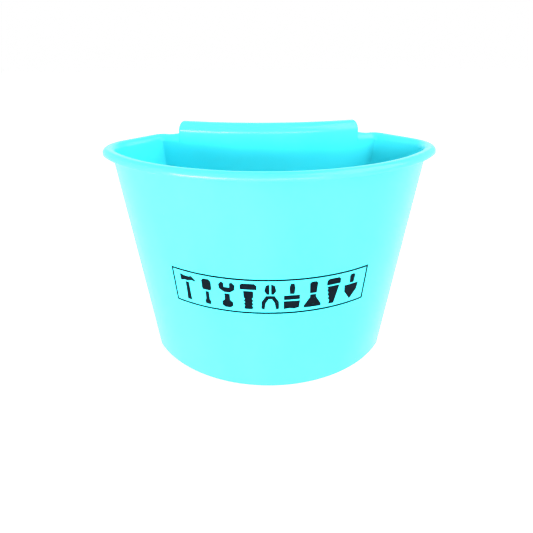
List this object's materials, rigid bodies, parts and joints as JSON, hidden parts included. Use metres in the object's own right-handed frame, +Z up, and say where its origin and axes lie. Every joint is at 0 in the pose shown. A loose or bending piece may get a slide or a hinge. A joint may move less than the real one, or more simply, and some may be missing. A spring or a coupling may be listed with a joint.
{
  "type": "tool bucket organizer",
  "caption": "Open half-round tub with a rolled rim, a hollow back that hugs a pail, and a wide rear hanger that hooks over the pail's rim to hold hand tools.",
  "frame": {"origin": "on the flat base, in the middle of the overall width and depth", "axes": "+X across the width, +Y towards the pail that it hangs on, +Z up"},
  "size_m": [0.1992, 0.107, 0.156],
  "materials": {
    "tub_plastic": "glossy moulded polypropylene, turquoise",
    "print_ink": "screen-printed ink, blue-black"
  },
  "bodies": {
    "root": {"floor": "tub_plastic", "front_wall": "tub_plastic", "right_side_wall": "tub_plastic", "left_side_wall": "tub_plastic", "back_wall": "tub_plastic", "rolled_rim": "tub_plastic", "hanger_hook": "tub_plastic", "print_border": "print_ink", "print_hammer": "print_ink", "print_screwdriver": "print_ink", "print_wrench": "print_ink", "print_bolt": "print_ink", "print_pliers": "print_ink", "print_brush": "print_ink", "print_scraper": "print_ink", "print_saw": "print_ink", "print_trowel": "print_ink"}
  },
  "joints": []
}
